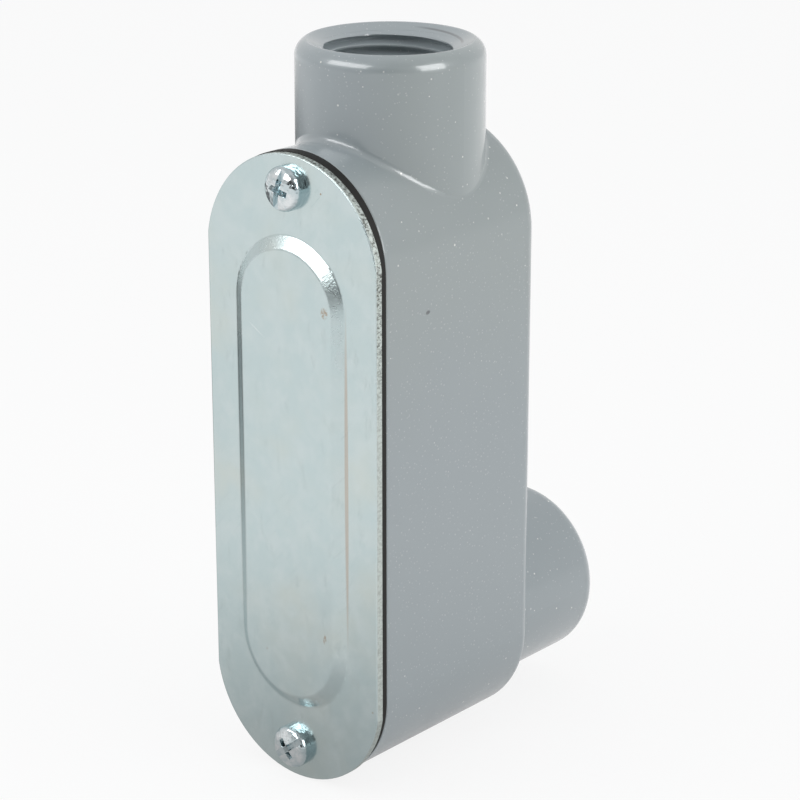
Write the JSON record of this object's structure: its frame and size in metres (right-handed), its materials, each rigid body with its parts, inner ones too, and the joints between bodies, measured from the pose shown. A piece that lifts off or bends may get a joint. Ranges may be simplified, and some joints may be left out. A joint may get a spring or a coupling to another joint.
{
  "type": "conduit body",
  "caption": "Elbow conduit body with a threaded end hub, a threaded back hub and a gasketed screw-on sheet cover with a raised panel.",
  "frame": {"origin": "middle of the end hub's mouth, on the hub's axis", "axes": "+Z out of the end hub along its axis, +Y out of the back hub, cover facing -Y, X across the body"},
  "size_m": [0.0338, 0.0607, 0.1136],
  "materials": {
    "coated_casting": "satin",
    "gasket_rubber": "matte",
    "plated_sheet": "satin",
    "plated_screw": "gloss"
  },
  "bodies": {
    "root": {"body": "coated_casting", "gasket": "gasket_rubber", "cover": "plated_sheet", "cover_screw_top": "plated_screw", "cover_screw_bottom": "plated_screw"}
  },
  "joints": []
}
